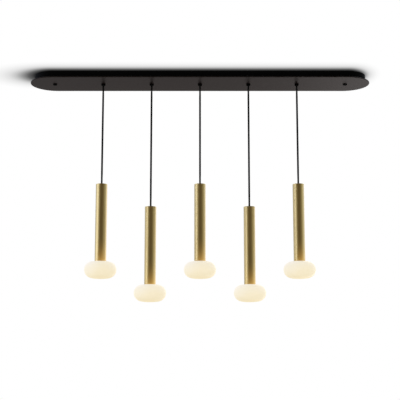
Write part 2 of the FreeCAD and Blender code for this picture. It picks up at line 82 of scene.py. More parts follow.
def placed(name: str, data: bpy.types.ID) -> bpy.types.Object:
    """Put a new object in the scene, at the origin.

    Args:
        name: the object's name.
        data: its mesh, lamp or camera.

    Returns:
        The new object.
    """
    made = bpy.data.objects.new(name, data)
    bpy.context.scene.collection.objects.link(made)
    return made


def upright(node: str) -> tuple[float, float, float, float]:
    """A round upright node's place along the row, its radius, and its bottom's and top's height."""
    low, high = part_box(node)
    return (low.x + high.x) / 2.0, (high.x - low.x) / 2.0, low.z, high.z


class Surface:
    """Meshes worked out as whole numpy arrays on a grid of two parameters."""

    @staticmethod
    def turns(columns: int) -> np.ndarray:
        """The places of points that stand evenly round a circle, as shares of a full turn."""
        return np.arange(columns) / columns

    @staticmethod
    def run(line: np.ndarray) -> np.ndarray:
        """The metres from a line's start to each of its points, along the line."""
        return np.concatenate([[0.0], np.cumsum(np.linalg.norm(np.diff(line, axis=0), axis=1))])

    @staticmethod
    def quads(rows: int, columns: int) -> np.ndarray:
        """Faces between neighbouring rows of a grid whose columns run once round.

        Point (row, column) has the number row * columns + column. Each face joins it to the next
        column and the next row, and the last column joins the first.

        Args:
            rows: how many rows of points there are.
            columns: how many points there are in a row.

        Returns:
            One row of four point numbers for each face.
        """
        row, column = np.meshgrid(np.arange(rows - 1), np.arange(columns), indexing="ij")
        ahead, beside = row + 1, (column + 1) % columns
        corners = (row * columns + column, row * columns + beside)
        opposite = (ahead * columns + beside, ahead * columns + column)
        return np.stack([*corners, *opposite], axis=-1).reshape(-1, 4)

    @staticmethod
    def fan(centre: int, first: int, columns: int, outwards: bool) -> np.ndarray:
        """Triangles from one point to a ring of points.

        Args:
            centre: the number of the point in the middle.
            first: the number of the ring's first point.
            columns: how many points the ring has.
            outwards: whether the ring runs the same way as the rows of the grid.

        Returns:
            One row of three point numbers for each face.
        """
        ring = first + np.arange(columns)
        beside = first + (np.arange(columns) + 1) % columns
        middle = np.full(columns, centre)
        order = (middle, beside, ring) if outwards else (middle, ring, beside)
        return np.stack(order, axis=-1)

    @staticmethod
    def closed(
        name: str, grid: np.ndarray, ends: np.ndarray, along: np.ndarray, end_run: np.ndarray
    ) -> bpy.types.Object:
        """Make a tube-like object from a grid of points, with a fan of faces over each end.

        Args:
            name: the piece's name.
            grid: a point for each step and each angle.
            ends: the point in the middle of each fan.
            along: the metres along the pattern for each step.
            end_run: the same for the two ends.

        Returns:
            The new object, with the turn and the metres along it as its pattern coordinates.
        """
        steps, columns = grid.shape[:2]
        points = np.concatenate([grid.reshape(-1, 3), ends])
        turn = np.repeat(Surface.turns(columns)[None, :], steps, axis=0)
        uv = np.stack([turn, np.repeat(along[:, None], columns, axis=1)], axis=-1).reshape(-1, 2)
        uv = np.concatenate([uv, np.column_stack([np.zeros(2), end_run])])
        first, last = steps * columns, steps * columns + 1
        faces = [
            Surface.quads(steps, columns),
            Surface.fan(first, 0, columns, outwards=True),
            Surface.fan(last, (steps - 1) * columns, columns, outwards=False),
        ]
        return Surface.mesh(name, points, faces, uv)

    @staticmethod
    def mesh(
        name: str, points: np.ndarray, faces: Sequence[np.ndarray], uv: np.ndarray
    ) -> bpy.types.Object:
        """Make an object at the origin from points, faces and a place on the pattern for each point.

        Args:
            name: the piece's name.
            points: one row of three coordinates for each point.
            faces: arrays of faces, each with one width.
            uv: one row of two pattern coordinates for each point.

        Returns:
            The new object, shaded smooth apart from its sharp edges.
        """
        data = bpy.data.meshes.new(name)
        data.from_pydata(points, [], [face for block in faces for face in block.tolist()])
        corner_points = np.zeros(len(data.loops), dtype=np.int32)
        data.loops.foreach_get("vertex_index", corner_points)
        layer = data.uv_layers.new(name="pattern")
        layer.data.foreach_set("uv", uv[corner_points].astype(np.float32).ravel())
        data.shade_smooth()
        data.set_sharp_from_angle(angle=math.radians(SHARP_DEGREES))
        data.update()
        return placed(name, data)

    @staticmethod
    def turned(
        name: str, profile: np.ndarray, place: Point, columns: int, ripple: np.ndarray
    ) -> bpy.types.Object:
        """Turn a closed profile about an upright axis.

        The point at profile step i and angle a lies at (r cos a, r sin a, z) from the place, where
        r is the profile's radius plus the ripple at (i, a). The profile starts and ends on the axis,
        where there is a single point.

        Args:
            name: the piece's name.
            profile: radius and height for each step, so ordered that the outside is on its right.
            place: where the axis stands and what height 0 is.
            columns: how many points go round.
            ripple: what is added to the radius at each step and angle.

        Returns:
            The new object.
        """
        rings = profile[1:-1]
        angle = 2.0 * math.pi * Surface.turns(columns)
        radius = rings[:, :1] + ripple[1:-1]
        height = np.repeat(rings[:, 1:], columns, axis=1)
        grid = np.stack([radius * np.cos(angle), radius * np.sin(angle), height], axis=-1)
        ends = np.array([[0.0, 0.0, profile[0, 1]], [0.0, 0.0, profile[-1, 1]]])
        run = Surface.run(profile)
        grid, ends = grid + np.array(place), ends + np.array(place)
        return Surface.closed(name, grid, ends, run[1:-1], run[[0, -1]])

    @staticmethod
    def sleeve(name: str, centreline: np.ndarray, radius: np.ndarray) -> bpy.types.Object:
        """Carry a round section along a centreline, and close both ends.

        The point at step i and angle a lies at c(i) + r(i, a) (p cos a + q sin a), where p and q
        are two directions square to the centreline and to each other.

        Args:
            name: the piece's name.
            centreline: one row of three coordinates for each step.
            radius: the section's radius at each step and angle.

        Returns:
            The new object.
        """
        tangent = np.gradient(centreline, axis=0)
        tangent /= np.linalg.norm(tangent, axis=1, keepdims=True)
        reference = np.array([0.0, 1.0, 0.0])
        across = np.cross(reference, tangent)
        across /= np.linalg.norm(across, axis=1, keepdims=True)
        beyond = np.cross(tangent, across)
        angle = 2.0 * math.pi * Surface.turns(radius.shape[1])[:, None]
        outward = across[:, None, :] * np.cos(angle) + beyond[:, None, :] * np.sin(angle)
        grid = centreline[:, None, :] + radius[:, :, None] * outward
        run = Surface.run(centreline)
        return Surface.closed(name, grid, centreline[[0, -1]], run, run[[0, -1]])


def arc(
    centre: tuple[float, float], radius: float, start: float, end: float, steps: int
) -> np.ndarray:
    """Points on an arc in a profile: the centre plus the radius times (cos a, sin a).

    Args:
        centre: radius and height of the arc's centre.
        radius: the arc's own radius.
        start: the first angle, in radians.
        end: the last angle, in radians.
        steps: how many points there are.

    Returns:
        One row of radius and height for each point.
    """
    angle = np.linspace(start, end, steps)
    return np.stack([centre[0] + radius * np.cos(angle), centre[1] + radius * np.sin(angle)], axis=-1)


@dataclass(frozen=True)
class Value:
    """A number in a shader. Its operators add Math nodes, so its maths is written as expressions."""

    shader: "Shader"
    socket: bpy.types.NodeSocket

    def math(self, operation: str, *others: "Value | float") -> "Value":
        """Add one Math node.

        Args:
            operation: Blender's name for the operation.
            others: what follows this value in the operation.

        Returns:
            The node's result.
        """
        inputs = dict(enumerate((self, *others)))
        node = self.shader.node("ShaderNodeMath", {"operation": operation}, inputs)
        return Value(self.shader, node.outputs[0])

    def __add__(self, other: "Value | float") -> "Value":
        """This plus another."""
        return self.math("ADD", other)

    __radd__ = __add__

    def __sub__(self, other: "Value | float") -> "Value":
        """This less another."""
        return self.math("SUBTRACT", other)

    def __rsub__(self, other: float) -> "Value":
        """A number less this, as this times -1 plus the number."""
        return self.math("MULTIPLY_ADD", -1.0, other)

    def __mul__(self, other: "Value | float") -> "Value":
        """This times another."""
        return self.math("MULTIPLY", other)

    __rmul__ = __mul__

    def __truediv__(self, other: "Value | float") -> "Value":
        """This over another."""
        return self.math("DIVIDE", other)

    def __pow__(self, other: "Value | float") -> "Value":
        """This to the power of another."""
        return self.math("POWER", other)

    def __mod__(self, other: "Value | float") -> "Value":
        """What is left of this after whole multiples of another, never below 0."""
        return self.math("FLOORED_MODULO", other)


class Holder(Enum):
    """What a node tree belongs to, by the name of Blender's own collection of them."""

    MATERIAL = "materials"
    WORLD = "worlds"


@dataclass
class Shader:
    """The node tree of a material or of the world, and the ways in which this script adds to it."""

    name: str
    holder: Holder = Holder.MATERIAL
    owner: bpy.types.ID = field(init=False)

    def __post_init__(self) -> None:
        """Start with an empty tree."""
        self.owner = getattr(bpy.data, self.holder.value).new(self.name)
        self.owner.use_nodes = True
        self.owner.node_tree.nodes.clear()

    def node(
        self,
        kind: str,
        settings: Mapping[str, Any] | None = None,
        inputs: Mapping[str | int, Any] | None = None,
    ) -> bpy.types.Node:
        """Add a node.

        Args:
            kind: Blender's name for the kind of node.
            settings: its settings, which are set first. stops holds a ramp's places and colours.
            inputs: what each socket holds or is linked to. A colour has three numbers.

        Returns:
            The new node.
        """
        tree = self.owner.node_tree
        made = tree.nodes.new(kind)
        for name, setting in (settings or {}).items():
            if name == "stops":
                self.set_stops(made.color_ramp, setting)
            else:
                setattr(made, name, setting)
        for name, given in (inputs or {}).items():
            held = given.socket if isinstance(given, Value) else given
            socket = made.inputs[name]
            if isinstance(held, bpy.types.NodeSocket):
                tree.links.new(held, socket)
            else:
                socket.default_value = (*held, 1.0) if socket.type == "RGBA" else held
        return made

    @staticmethod
    def set_stops(ramp: bpy.types.ColorRamp, stops: Stops) -> None:
        """Give a ramp its stops.

        Args:
            ramp: the ramp.
            stops: the place and colour of each stop, from left to right.
        """
        while len(ramp.elements) < len(stops):
            ramp.elements.new(1.0)
        for element, (place, colour) in zip(ramp.elements, stops):
            element.position = place
            element.color = (*colour, 1.0)

    def object_point(self) -> bpy.types.NodeSocket:
        """The point in the row frame."""
        return self.node("ShaderNodeTexCoord").outputs["Object"]

    def pattern_point(self) -> tuple[Value, Value]:
        """The piece's own pattern coordinates: the turn round it and the metres along it."""
        across, along, _ = self.split(self.node("ShaderNodeTexCoord").outputs["UV"])
        return across, along

    def upward(self) -> Value:
        """1 on a face that looks straight up, less on a slope, and 0 on a wall or a lower side."""
        _, _, rise = self.split(self.node("ShaderNodeNewGeometry").outputs["True Normal"])
        return rise.math("MAXIMUM", 0.0)

    def split(self, vector: bpy.types.NodeSocket) -> tuple[Value, Value, Value]:
        """The three numbers of a vector."""
        parts = self.node("ShaderNodeSeparateXYZ", inputs={"Vector": vector}).outputs
        return Value(self, parts[0]), Value(self, parts[1]), Value(self, parts[2])

    @staticmethod
    def from_axis(across: Value) -> Value:
        """How far right of the nearest pendant's axis a place in the row is, below 0 on the left."""
        return (across + CORD_SPACING / 2.0) % CORD_SPACING - CORD_SPACING / 2.0

    def join(self, *parts: Value | float) -> bpy.types.NodeSocket:
        """A vector of three numbers."""
        return self.node("ShaderNodeCombineXYZ", inputs=dict(enumerate(parts))).outputs[0]

    def scaled(self, vector: bpy.types.NodeSocket, scale: Point) -> bpy.types.NodeSocket:
        """A vector stretched along each axis, so that a noise on it has a grain."""
        return self.node("ShaderNodeMapping", inputs={"Vector": vector, "Scale": scale}).outputs[0]

    def noise(self, vector: bpy.types.NodeSocket, scale: float, detail: float = 2.0) -> Value:
        """Clouds about 0.5, with so many lumps in a metre and so many finer layers over them."""
        inputs = {"Vector": vector, "Scale": scale, "Detail": detail}
        return Value(self, self.node("ShaderNodeTexNoise", inputs=inputs).outputs["Fac"])

    def ramp(self, place: Value, levels: Levels) -> Value:
        """A value that follows a line through given places and levels, all between 0 and 1."""
        return Value(self, self.gradient(place, [(where, (level,) * 3) for where, level in levels]))

    def gradient(self, place: Value, stops: Stops) -> bpy.types.NodeSocket:
        """A colour that runs through given ones at given places, which are between 0 and 1."""
        return self.node("ShaderNodeValToRGB", {"stops": stops}, {"Fac": place}).outputs[0]

    def mix(self, share: Value | float, first: Any, second: Any) -> bpy.types.NodeSocket:
        """A blend of two colours or colour sockets, with this much of the second."""
        inputs = {"Factor": share, 6: first, 7: second}
        return self.node("ShaderNodeMix", {"data_type": "RGBA"}, inputs).outputs[2]

    def varied(
        self, share: Value, colour: Colour, least: float, most: float = 1.0
    ) -> bpy.types.NodeSocket:
        """A colour that goes from its least to its most share of itself as a value goes from 0 to 1."""
        return self.mix(share, *(tuple(part * level for part in colour) for level in (least, most)))

    def bump(self, height: Value, depth: float) -> bpy.types.NodeSocket:
        """The normal of a surface whose relief, from 0 to 1, is so many metres deep."""
        return self.node("ShaderNodeBump", inputs={"Height": height, "Distance": depth}).outputs[0]

    def principled(self, inputs: Mapping[str, Any]) -> bpy.types.Material:
        """End the tree in a Principled shader with these inputs, and give the finished material."""
        return self.end(self.node("ShaderNodeBsdfPrincipled", inputs=inputs))

    def end(self, surface: bpy.types.Node) -> bpy.types.Material:
        """End the tree in a shader node, and give the finished material."""
        self.node("ShaderNodeOutputMaterial", inputs={"Surface": surface.outputs[0]})
        return self.owner

    def emission(self, colour: Any, strength: float = 1.0) -> bpy.types.Node:
        """A surface that shines in a colour or in what a socket gives."""
        return self.node("ShaderNodeEmission", inputs={"Color": colour, "Strength": strength})

    def blend(self, share: Value, first: bpy.types.Node, second: bpy.types.Node) -> bpy.types.Node:
        """A mix of two shader nodes, with this much of the second."""
        inputs = {0: share, 1: first.outputs[0], 2: second.outputs[0]}
        return self.node("ShaderNodeMixShader", inputs=inputs)

    def seen(self) -> Value:
        """Tell the rays that look at a thing from those that carry its light to others.

        Returns:
            1 for a ray from the camera, or one that metal or glass sends on, and 0 for others.
        """
        paths = self.node("ShaderNodeLightPath").outputs
        rays = [Value(self, paths[f"Is {kind} Ray"]) for kind in ("Camera", "Glossy", "Transmission")]
        return rays[0].math("MAXIMUM", rays[1]).math("MAXIMUM", rays[2])


@dataclass(frozen=True)
class PowderCoat:
    """Baked powder paint: a fine pebbled skin with a slow drift in shade and tiny darker flecks.

    Faces that look up gather a thin, uneven film of dust.
    """

    name: str
    colour: Colour
    roughness: float
    gloss: float
    pebble: float = 0.00002
    tint: Colour = WHITE
    dust: Colour = (0.042, 0.040, 0.037)

    def material(self) -> bpy.types.Material:
        """Build the finish.

        Returns:
            The finished material.
        """
        shader = Shader(self.name)
        point = shader.object_point()
        pebbles = shader.noise(point, 1400.0, 3.0)
        flecks = shader.noise(point, 5200.0, 1.0)
        drift = shader.noise(point, 9.0)
        paint = shader.varied(drift * 0.6 + flecks * 0.4, self.colour, 0.70, 1.35)
        film = shader.upward() * (0.45 + 0.40 * drift + 0.30 * pebbles)
        return shader.principled({
            "Base Color": shader.mix(film, paint, self.dust),
            "Roughness": self.roughness - 0.06 + 0.12 * pebbles,
            "Specular IOR Level": self.gloss,
            "Specular Tint": self.tint,
            "Normal": shader.bump(pebbles, self.pebble),
        })


@dataclass(frozen=True)
class BrushedBrass:
    """Lacquered brass, brushed round the tube: fine rings that spread a light up and down the tube.

    The tube's lower end has a painted glow, standing in for the lit globe's light on the brass.
    With h the height above that end, the painted glow is the square of 1 - h / reach, times a
    share that changes across the tube from left to right.
    """

    # painted light: the painted glow's share across the tube, from left to right
    PAINTED_LIGHT_ACROSS: ClassVar[Levels] = (
        (0.00, 0.00),
        (0.07, 0.05),
        (0.29, 0.45),
        (0.50, 0.78),
        (0.71, 1.00),
        (0.93, 0.80),
        (1.00, 0.70),
    )
    name: str
    end: float
    colour: Colour = (0.80, 0.63, 0.275)
    deeper: Colour = (0.70, 0.53, 0.205)
    painted_glow: Colour = (0.270, 0.132, 0.022)
    reach: float = 0.078
    radius: float = 0.0175
    roughness: float = 0.50
    spread: float = 0.95
    groove: float = 0.000004

    def material(self) -> bpy.types.Material:
        """Build the finish.

        Returns:
            The finished material.
        """
        shader = Shader(self.name)
        point = shader.object_point()
        rings = shader.noise(shader.scaled(point, (14.0, 14.0, 2600.0)), 1.0, 3.0)
        hairs = shader.noise(shader.scaled(point, (60.0, 60.0, 9000.0)), 1.0, 2.0)
        clouds = shader.noise(point, 22.0)
        colour = shader.mix(rings * 0.6 + clouds * 0.4, self.deeper, self.colour)
        across, _, height = shader.split(point)
        # painted glow: the lit globe's light on the brass, fading up the tube and shared across it
        near = (1.0 - (height - self.end) / self.reach).math("MAXIMUM", 0.0)
        share = shader.ramp(shader.from_axis(across) / (2.0 * self.radius) + 0.5, self.PAINTED_LIGHT_ACROSS)
        return shader.principled({
            "Base Color": colour,
            "Metallic": 1.0,
            "Roughness": self.roughness - 0.05 + 0.10 * rings,
            "Anisotropic": self.spread,
            "Anisotropic Rotation": 0.25,
            "Coat Weight": 0.80,
            "Coat Roughness": 0.22,
            # painted glow from the lit globe, as emission on the brass
            "Emission Color": shader.varied(near * near * share, self.painted_glow, 0.0),
            "Emission Strength": 1.0,
            "Normal": shader.bump(hairs, self.groove),
        })


@dataclass(frozen=True)
class TurnedMetal:
    """Metal off a lathe: fine rings round each pendant's own axis."""

    name: str
    colour: Colour
    roughness: float = 0.32

    def material(self) -> bpy.types.Material:
        """Build the finish. The radius is measured from the nearest pendant's axis.

        Returns:
            The finished material.
        """
        shader = Shader(self.name)
        across, beyond, height = shader.split(shader.object_point())
        aside = shader.from_axis(across)
        radius = (aside * aside + beyond * beyond) ** 0.5
        rings = shader.noise(shader.join(radius, 0.0, height), 4200.0, 2.0)
        stain = shader.noise(shader.object_point(), 70.0)
        return shader.principled({
            "Base Color": shader.varied(stain, self.colour, 0.78),
            "Metallic": 1.0,
            "Roughness": self.roughness - 0.06 + 0.12 * rings,
            "Normal": shader.bump(rings, 0.00001),
        })


@dataclass(frozen=True)
class ZincPlate:
    """Bright zinc plate with its cloudy crystals."""

    name: str = "zinc_plate"
    colour: Colour = (0.62, 0.62, 0.60)

    def material(self) -> bpy.types.Material:
        """Build the finish.

        Returns:
            The finished material.
        """
        shader = Shader(self.name)
        point = shader.object_point()
        crystals = shader.noise(point, 600.0, 4.0)
        clouds = shader.noise(point, 90.0)
        return shader.principled({
            "Base Color": shader.varied(clouds * 0.5 + crystals * 0.5, self.colour, 0.72),
            "Metallic": 1.0,
            "Roughness": 0.26 + 0.22 * crystals,
            "Normal": shader.bump(crystals, 0.000012),
        })


@dataclass(frozen=True)
class Moulded:
    """Moulded plastic, rubber or glazed ceramic: a soft drift in shade under a faint grain."""

    name: str
    colour: Colour
    roughness: float
    grain: float = 1800.0
    depth: float = 0.000012
    coat: float = 0.0

    def material(self) -> bpy.types.Material:
        """Build the finish.

        Returns:
            The finished material.
        """
        shader = Shader(self.name)
        point = shader.object_point()
        grains = shader.noise(point, self.grain, 2.0)
        drift = shader.noise(point, 60.0)
        return shader.principled({
            "Base Color": shader.varied(drift, self.colour, 0.86),
            "Roughness": self.roughness - 0.05 + 0.10 * grains,
            "Coat Weight": self.coat,
            "Coat Roughness": 0.12,
            "Normal": shader.bump(grains, self.depth),
        })


@dataclass(frozen=True)
class Braid:
    """How a textile cord is braided: strands that wind both ways and pass over and under."""

    strands: int = 8
    pitch: float = 0.0029
    relief: float = 0.00018
    arch: float = 0.45
    threads: int = 3

    def relief_at(self, turn: np.ndarray, along: np.ndarray) -> np.ndarray:
        """Depth of the braid's surface under the cord's full radius.

        With a = strands * turn + along / pitch and b = strands * turn - along / pitch, the strand
        that lies on top in a cell is the one wound by a where the whole parts of a and b add up to
        an even number, and the one wound by b elsewhere. Its height is the root of a half sine
        across it, times a shallow arch along it.

        Args:
            turn: the share of a full turn.
            along: the metres along the cord.

        Returns:
            The depth in metres, 0 at the crown of each strand.
        """
        first = self.strands * turn + along / self.pitch
        second = self.strands * turn - along / self.pitch
        even = (np.floor(first) + np.floor(second)) % 2.0 < 0.5
        wide = np.where(even, first % 1.0, second % 1.0)
        long = np.where(even, second % 1.0, first % 1.0)
        arched = 1.0 - self.arch * (1.0 - np.sin(math.pi * long))
        return self.relief * (1.0 - np.sqrt(np.sin(math.pi * wide)) * arched)


@dataclass(frozen=True)
class Textile:
    """Black braided yarn: each strand is a few twisted threads, a little lighter on their crowns."""

    braid: Braid
    name: str = "braided_textile"
    colour: Colour = (0.0030, 0.0029, 0.0028)
    lighter: Colour = (0.0065, 0.0063, 0.0060)

    def material(self) -> bpy.types.Material:
        """Build the finish on the braid's own two directions.

        Returns:
            The finished material.
        """
        shader = Shader(self.name)
        turn, along = shader.pattern_point()
        first = turn * self.braid.strands + along / self.braid.pitch
        second = turn * self.braid.strands - along / self.braid.pitch
        odd = (first.math("FLOOR") + second.math("FLOOR")) % 2.0
        wide = first * (1.0 - odd) + second * odd
        threads = (wide * (2.0 * math.pi * self.braid.threads)).math("SINE") * 0.5 + 0.5
        fuzz = shader.noise(shader.object_point(), 2600.0, 3.0)
        return shader.principled({
            "Base Color": shader.mix(threads * 0.6 + fuzz * 0.4, self.colour, self.lighter),
            "Roughness": 0.78 + 0.14 * fuzz,
            "Specular IOR Level": 0.08,
            "Normal": shader.bump(threads * 0.7 + fuzz * 0.3, 0.00006),
        })


@dataclass(frozen=True)
class OpalGlass:
    """Opal glass with the lamp alight behind it: a warm body, deeper below, and a silky skin.

    The glow pales with the metres along the profile, from the bottom up, and towards both sides,
    more so on the left, where the room is bright. The glow is the lamp's own light; its paling is
    painted light from the room.
    """

    # the glow along the profile: the lamp's own light, with painted light paling it upward
    GLOW: ClassVar[Stops] = (
        (0.00, (0.600, 0.485, 0.235)),
        (0.27, (0.630, 0.512, 0.250)),
        (0.42, (0.620, 0.513, 0.272)),
        (0.58, (0.643, 0.540, 0.308)),
        (0.77, (0.670, 0.589, 0.408)),
        (0.85, (0.678, 0.606, 0.440)),
        (1.00, (0.685, 0.630, 0.530)),
    )
    # painted light: how much the glow pales across the globe, most on the left
    PAINTED_LIGHT_ACROSS: ClassVar[Levels] = (
        (0.00, 1.00),
        (0.25, 0.62),
        (0.50, 0.10),
        (0.70, 0.00),
        (1.00, 0.30),
    )
    name: str = "opal_glass"
    colour: Colour = (0.33, 0.33, 0.34)
    reach: float = 0.100
    radius: float = 0.0475
    painted_lift: float = 0.26

    def material(self) -> bpy.types.Material:
        """Build the finish.

        Returns:
            The finished material.
        """
        shader = Shader(self.name)
        _, along = shader.pattern_point()
        point = shader.object_point()
        seeds = shader.noise(point, 900.0, 2.0)
        clouds = shader.noise(point, 26.0, 2.0)
        across, _, _ = shader.split(point)
        # painted light: the glow pales towards the sides, most on the left, where the room is bright
        painted_paling = shader.ramp(shader.from_axis(across) / (2.0 * self.radius) + 0.5, self.PAINTED_LIGHT_ACROSS)
        place = along / self.reach + painted_paling * self.painted_lift + (clouds - 0.5) * 0.13
        return shader.principled({
            "Base Color": self.colour,
            "Roughness": 0.30 + 0.06 * seeds,
            "Specular IOR Level": 0.06,
            "Emission Color": shader.gradient(place, self.GLOW),
            "Emission Strength": 1.0,
            "Normal": shader.bump(clouds, 0.0001),
        })


@dataclass(frozen=True)
class LampGlass:
    """Frosted lamp capsule, alight: warm enough to stand out against a white room."""

    name: str = "lamp_glass"
    colour: Colour = (0.40, 0.38, 0.33)
    glow: Colour = (0.55, 0.43, 0.25)

    def material(self) -> bpy.types.Material:
        """Build the finish.

        Returns:
            The finished material.
        """
        shader = Shader(self.name)
        frost = shader.noise(shader.object_point(), 2400.0, 2.0)
        return shader.principled({
            "Base Color": shader.varied(frost, self.colour, 0.9),
            "Roughness": 0.35 + 0.15 * frost,
            "Emission Color": self.glow,
            "Emission Strength": 1.0,
            "Normal": shader.bump(frost, 0.00001),
        })


class Finish(Enum):
    """The finishes of the CAD nodes that keep their own shape."""

    CANOPY = PowderCoat("canopy_coat", (0.0050, 0.0026, 0.0019), 0.40, 0.070, tint=(1.0, 0.74, 0.66))
    # painted shade: the tray's coat is darker than the canopy's, standing in for the shade between the
    # plate and the ceiling
    SHADED_TRAY = PowderCoat("tray_painted_shade", (0.0015, 0.0015, 0.0015), 0.60, 0.02)
    FITTING = PowderCoat("fitting_coat", (0.0012, 0.0012, 0.0012), 0.55, 0.008, 0.00001)
    ZINC = ZincPlate()
    CLAMP = TurnedMetal("turned_brass", (0.74, 0.57, 0.28))
    CARRIER = TurnedMetal("turned_aluminium", (0.74, 0.74, 0.73))
    RUBBER = Moulded("bush_rubber", (0.020, 0.020, 0.020), 0.62)
    BLOCK = Moulded("block_nylon", (0.80, 0.79, 0.74), 0.45)
    SHEATH = Moulded("lead_sheath", (0.030, 0.030, 0.032), 0.48)
    CERAMIC = Moulded("holder_ceramic", (0.86, 0.85, 0.81), 0.30, 900.0, 0.00002, 0.4)
    LAMP = LampGlass()


@dataclass
class Dresser:
    """Gives the CAD nodes that stay in view their finishes."""

    NODES: ClassVar[dict[str, Finish]] = {
        "ceiling_tray": Finish.SHADED_TRAY,
        "cover_plate": Finish.CANOPY,
        "cover_screws": Finish.FITTING,
        "cord_grips": Finish.FITTING,
        "screw_posts": Finish.ZINC,
        "grip_nuts": Finish.ZINC,
        "cord_stops": Finish.ZINC,
        "earth_stud": Finish.ZINC,
        "supply_grommet": Finish.RUBBER,
        "terminal_block": Finish.BLOCK,
        "canopy_leads": Finish.SHEATH,
        "inner_lead": Finish.SHEATH,
        "cord_clamp": Finish.CLAMP,
        "globe_carrier": Finish.CARRIER,
        "lamp_holder": Finish.CERAMIC,
        "lamp": Finish.LAMP,
    }
    made: dict[str, bpy.types.Material] = field(default_factory=dict)

    def material(self, finish: Any) -> bpy.types.Material:
        """The material of a finish, made once.

        Args:
            finish: a finish with a name and a material method.

        Returns:
            The material.
        """
        if finish.name not in self.made:
            self.made[finish.name] = finish.material()
        return self.made[finish.name]

    def dress(self, piece: bpy.types.Object, finish: Any) -> None:
        """Put one finish on every part of a piece.

        Args:
            piece: the piece.
            finish: its finish.
        """
        material = self.material(finish)
        if not piece.data.materials:
            piece.data.materials.append(material)
        for slot in piece.material_slots:
            slot.link = "OBJECT"
            slot.material = material

    def dress_nodes(self) -> None:
        """Dress every CAD node that the table names, with or without a pendant's number."""
        for node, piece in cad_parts.items():
            kind = node.rstrip("0123456789").rstrip("_")
            finish = self.NODES.get(kind)
            if finish is not None:
                self.dress(piece, finish.value)
                LOG.info("%s is dressed in %s", node, finish.value.name)


@dataclass
class Cord:
    """One braided cord, taut between its gland and the ball in the tube's cap."""

    number: int
    dresser: Dresser
    braid: Braid = field(default_factory=Braid)
    columns: int = 64
    step: float = 0.00042
    fullness: float = 0.0002
    gripped: float = 0.024
    ease: float = 0.020
    rounding: float = 0.0028
    travel: float = 0.200

    def build(self) -> bpy.types.Object:
        """Make the cord.

        The braid keeps the cord's own radius where it is gripped, at both ends, and stands proud of
        it by its fullness in between. The ends, inside the gland and the clamp, are rounded as a
        quarter ellipse, so that they clear the leads there when the pendant swings or tilts.

        Returns:
            The new piece.
        """
        node = f"cord_{self.number}"
        across, radius, bottom, top = upright(node)
        length = top - bottom
        path = self.route([(across, 0.0, top), (across, 0.0, bottom)])
        steps = round(length / self.step)
        share = np.linspace(0.0, 1.0, steps)
        place = np.linspace(0.0, 1.0, len(path))
        centreline = np.stack([np.interp(share, place, path[:, axis]) for axis in range(3)], axis=-1)
        depth = self.braid.relief_at(Surface.turns(self.columns), (share * length)[:, None])
        from_end = length * np.minimum(share, 1.0 - share)[:, None]
        proud = self.fullness * smooth_step((from_end - self.gripped) / self.ease)
        rounded = np.sqrt(1.0 - (1.0 - np.clip(from_end / self.rounding, 0.01, 1.0)) ** 2)
        section = (radius + proud - depth) * rounded
        piece = Surface.sleeve(f"braided_cord_{self.number}", centreline, section)
        self.dresser.dress(piece, Textile(self.braid))
        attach(piece, f"hanging_cord_{self.number}")
        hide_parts(node)
        (length - self.travel) / length
        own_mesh(piece)
        return piece

    @staticmethod
    def route(points: Sequence[Point]) -> np.ndarray:
        """The line of a cord through its route's points, as a smooth spline gives it.

        Args:
            points: the points of the route.

        Returns:
            One row of three coordinates for each point of the line.
        """
        curve = bpy.data.curves.new("cord_route", "CURVE")
        curve.dimensions = "3D"
        spline = curve.splines.new("NURBS")
        spline.points.add(len(points) - 1)
        for control, point in zip(spline.points, points):
            control.co = (*point, 1.0)
        spline.order_u = 3
        spline.use_endpoint_u = True
        holder = bpy.data.objects.new("cord_route", curve)
        line = bpy.data.meshes.new_from_object(holder)
        found = np.zeros(len(line.vertices) * 3)
        line.vertices.foreach_get("co", found)
        bpy.data.meshes.remove(line)
        bpy.data.objects.remove(holder)
        bpy.data.curves.remove(curve)
        return found.reshape(-1, 3)


@dataclass
class Tube:
    """One brushed brass tube with its cap, from the CAD's own outline."""

    number: int
    dresser: Dresser

    def build(self) -> None:
        """Dress the tube and the cap in its top."""
        _, _, end, _ = upright(f"tube_{self.number}")
        # one brass material for each hanging height, so that its painted glow starts at the tube's end
        hang = "low" if self.number % 2 == 0 else "high"
        brass = BrushedBrass(f"brushed_brass_painted_glow_{hang}", end)
        for kind in ("tube", "tube_cap"):
            self.dresser.dress(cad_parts[f"{kind}_{self.number}"], brass)


